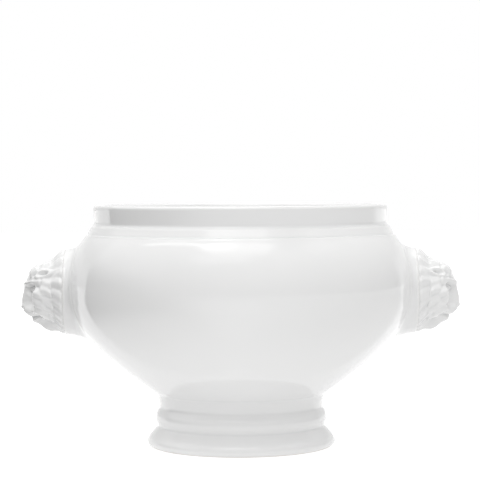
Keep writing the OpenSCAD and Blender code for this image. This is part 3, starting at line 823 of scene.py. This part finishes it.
# Floor and light. Directions are degrees round the crock, 0 towards the camera and rising to the right,
# elevations are degrees above the table. The backdrop behind the crock is white, as in the photograph.
studio = {
    "floorSize": 3.0,
    "floorColour": (0.62, 0.62, 0.62, 1),
    "lift": 0.6,                          # evens out the white of the floor
    "floorCentre": -50 * mm,              # where the floor's directions start
    "backdrop": {"across": (129, -122), "soft": (5, 1.5), "top": 14, "topSoft": 6},
    # elevation and tone of the room, and distance in metres and tone of the floor
    "room": ((0, 0.3), (20, 0.8), (45, 1.15), (90, 1.8)),
    "floorTone": ((0.05, 1.0), (0.12, 1.02), (0.5, 0.8), (1.2, 0.85)),
    "brightest": 3.0,                     # above every tone
    # parts of the room that are darker or lighter: direction and elevation from and to, how softly
    # these four edges end, and the tone that they add
    "roomAreas": {
        "darkLeft": {"across": (-122, -66), "up": (-20, 9), "soft": (1.5, 18, 1, 9), "tone": -0.45},
        "lightLeft": {"across": (-122, -66), "up": (18, 42), "soft": (1.5, 18, 6, 8), "tone": 0.35},
        "lampBehind": {"across": (129, -122), "up": (52, 90), "soft": (5, 1.5, 8, 1), "tone": 0.75},
        "dimRight": {"across": (42, 129), "up": (52, 80), "soft": (16, 5, 10, 8), "tone": -0.85},
    },
    # the same on the floor, with the distance in metres
    "floorAreas": {
        "darkLeft": {"across": (-122, -42), "up": (0.16, 9), "soft": (1.5, 24, 0.06, 1), "tone": -0.8},
        "lightLeft": {"across": (-122, -34), "up": (0.06, 0.13), "soft": (1.5, 24, 0.015, 0.03),
                      "tone": 0.12},
        "lightFront": {"across": (-30, 14), "up": (0.08, 0.5), "soft": (16, 14, 0.02, 0.2),
                       "tone": 0.3},
        "dimBehind": {"across": (129, -122), "up": (0.06, 0.2), "soft": (5, 1.5, 0.01, 0.1),
                      "tone": -0.45},
    },
    # softboxes 1 m above the crock: how far they reach to the right and to the front in metres, their
    # slant if they have one, how softly the four edges end, and their tone
    "softboxes": {
        "main": {"across": (-0.37, 0.32), "up": (0.36, 0.75), "soft": (0.06, 0.03, 0.01, 0.16),
                 "tone": 1.2},
        "hotSpot": {"across": (-0.42, -0.06), "up": (0.32, 0.6), "soft": (0.05, 0.1, 0.01, 0.12),
                    "tone": 1.6},
        "leftTail": {"across": (-0.95, -0.34), "up": (0.555, 0.66), "slant": 0.71,
                     "soft": (0.1, 0.06, 0.02, 0.04), "tone": 1.8},
        "front": {"across": (-0.7, 0.15), "up": (0.7, 1.2), "soft": (0.2, 0.15, 0.15, 0.15),
                  "tone": 0.7},
        "right": {"across": (0.6, 1), "up": (-0.05, 0.4), "soft": (0.1, 0.1, 0.05, 0.1), "tone": 0.45},
    },
    "lowestRise": 0.05,                   # keeps what lies level from reaching without end
}


def pastEdge(tree, value, edge, soft):  # 0 before an edge, 1 past it
    return remap(tree, value, (edge - soft, edge + soft), interpolation_type="SMOOTHSTEP")


def within(tree, value, limits, soft):  # 1 between two limits, which may reach round past 180 degrees
    started, ended = [pastEdge(tree, value, limit, width) for limit, width in zip(limits, soft)]
    inside = sumUp(tree, "SUBTRACT", started, ended)
    return sumUp(tree, "ADD", inside, 1.0) if limits[0] > limits[1] else inside


def toneAt(tree, value, tones):  # reads a list of places and tones
    start, span, brightest = tones[0][0], tones[-1][0] - tones[0][0], studio["brightest"]
    ramp = addNode(tree, "ShaderNodeValToRGB")
    while len(ramp.color_ramp.elements) < len(tones):
        ramp.color_ramp.elements.new(0.5)
    for element, (place, tone) in zip(ramp.color_ramp.elements, tones):
        element.position = (place - start) / span
        element.color = (tone / brightest, tone / brightest, tone / brightest, 1)
    feed(tree, ramp.inputs["Fac"], sumUp(tree, "DIVIDE", sumUp(tree, "SUBTRACT", value, start), span))
    return sumUp(tree, "MULTIPLY", ramp.outputs["Color"], brightest)


def addAreas(tree, tone, across, up, areas):
    for area in areas.values():
        along = sumUp(tree, "MULTIPLY_ADD", across, -area["slant"], up) if area.get("slant") else up
        share = sumUp(tree, "MULTIPLY", within(tree, across, area["across"], area["soft"][:2]),
                      within(tree, along, area["up"], area["soft"][2:]))
        tone = sumUp(tree, "MULTIPLY_ADD", share, area["tone"], tone)
    return tone


def directionOf(tree, right, toCamera):
    return sumUp(tree, "DEGREES", sumUp(tree, "ARCTAN2", right, toCamera))


def behindTheCrock(tree, direction):
    return within(tree, direction, studio["backdrop"]["across"], studio["backdrop"]["soft"])


# Camera and transmission rays see white all round, glossy ones behind the crock
def seesWhite(tree, behind):
    path = addNode(tree, "ShaderNodeLightPath").outputs
    plain = sumUp(tree, "MAXIMUM", path["Is Camera Ray"], path["Is Transmission Ray"])
    return sumUp(tree, "MAXIMUM", plain, sumUp(tree, "MULTIPLY", path["Is Glossy Ray"], behind))


# A plain pale floor with the crock's shadow. In front and at the sides glossy rays see the studio's
# tones on it.
def floorMaterial():
    material = bpy.data.materials.new("paleFloor")
    material.use_nodes = True
    tree = material.node_tree
    tree.nodes.remove(tree.nodes["Principled BSDF"])
    split = addNode(tree, "ShaderNodeSeparateXYZ")
    feed(tree, split.inputs[0], addNode(tree, "ShaderNodeTexCoord").outputs["Object"])
    x, y = split.outputs["X"], split.outputs["Y"]
    direction = directionOf(tree, x, sumUp(tree, "SUBTRACT", studio["floorCentre"], y))
    distance = sumUp(tree, "SQRT", sumUp(tree, "MULTIPLY_ADD", x, x, sumUp(tree, "MULTIPLY", y, y)))
    tone = toneAt(tree, distance, studio["floorTone"])
    tone = addAreas(tree, tone, direction, distance, studio["floorAreas"])
    matt = addNode(tree, "ShaderNodeBsdfDiffuse", Color=studio["floorColour"])
    lift = addNode(tree, "ShaderNodeEmission", Strength=studio["lift"])
    lifted = addNode(tree, "ShaderNodeAddShader")
    feed(tree, lifted.inputs[0], matt.outputs[0])
    feed(tree, lifted.inputs[1], lift.outputs[0])
    glow = addNode(tree, "ShaderNodeEmission")
    feed(tree, glow.inputs["Strength"], sumUp(tree, "MAXIMUM", tone, 0.0))
    seen = addNode(tree, "ShaderNodeMixShader")
    feed(tree, seen.inputs[0], seesWhite(tree, behindTheCrock(tree, direction)))
    feed(tree, seen.inputs[1], glow.outputs[0])
    feed(tree, seen.inputs[2], lifted.outputs[0])
    feed(tree, tree.nodes["Material Output"].inputs["Surface"], seen.outputs[0])
    layOut(tree)
    return material


def studioWorld():
    world = bpy.data.worlds.new("studio")
    world.use_nodes = True
    tree = world.node_tree
    split = addNode(tree, "ShaderNodeSeparateXYZ")
    feed(tree, split.inputs[0], addNode(tree, "ShaderNodeTexCoord").outputs["Generated"])
    x, z = split.outputs["X"], split.outputs["Z"]
    toCamera = sumUp(tree, "MULTIPLY", split.outputs["Y"], -1.0)
    direction = directionOf(tree, x, toCamera)
    elevation = sumUp(tree, "DEGREES", sumUp(tree, "ARCSINE", z))
    tone = toneAt(tree, elevation, studio["room"])
    tone = addAreas(tree, tone, direction, elevation, studio["roomAreas"])
    rise = sumUp(tree, "MAXIMUM", z, studio["lowestRise"])
    right, front = sumUp(tree, "DIVIDE", x, rise), sumUp(tree, "DIVIDE", toCamera, rise)
    tone = sumUp(tree, "MAXIMUM", addAreas(tree, tone, right, front, studio["softboxes"]), 0.0)
    backdrop = studio["backdrop"]
    high = pastEdge(tree, elevation, backdrop["top"], backdrop["topSoft"])
    low = sumUp(tree, "SUBTRACT", 1.0, high)
    behind = sumUp(tree, "MULTIPLY", low, behindTheCrock(tree, direction))
    sheet = tree.nodes["Background"]
    sheet.inputs["Color"].default_value = (1, 1, 1, 1)
    feed(tree, sheet.inputs["Strength"], mixed(tree, seesWhite(tree, behind), tone, 1.0))
    layOut(tree)
    return world


floorMesh = bmesh.new()
bmesh.ops.create_grid(floorMesh, x_segments=1, y_segments=1, size=studio["floorSize"])
floorData = bpy.data.meshes.new("floor")
floorMesh.to_mesh(floorData)
floorMesh.free()
floorData.materials.append(floorMaterial())
floor = bpy.data.objects.new("floor", floorData)
bpy.context.scene.collection.objects.link(floor)
bpy.context.scene.world = studioWorld()
bpy.context.scene.view_settings.view_transform = "Standard"
print("floor and light made")
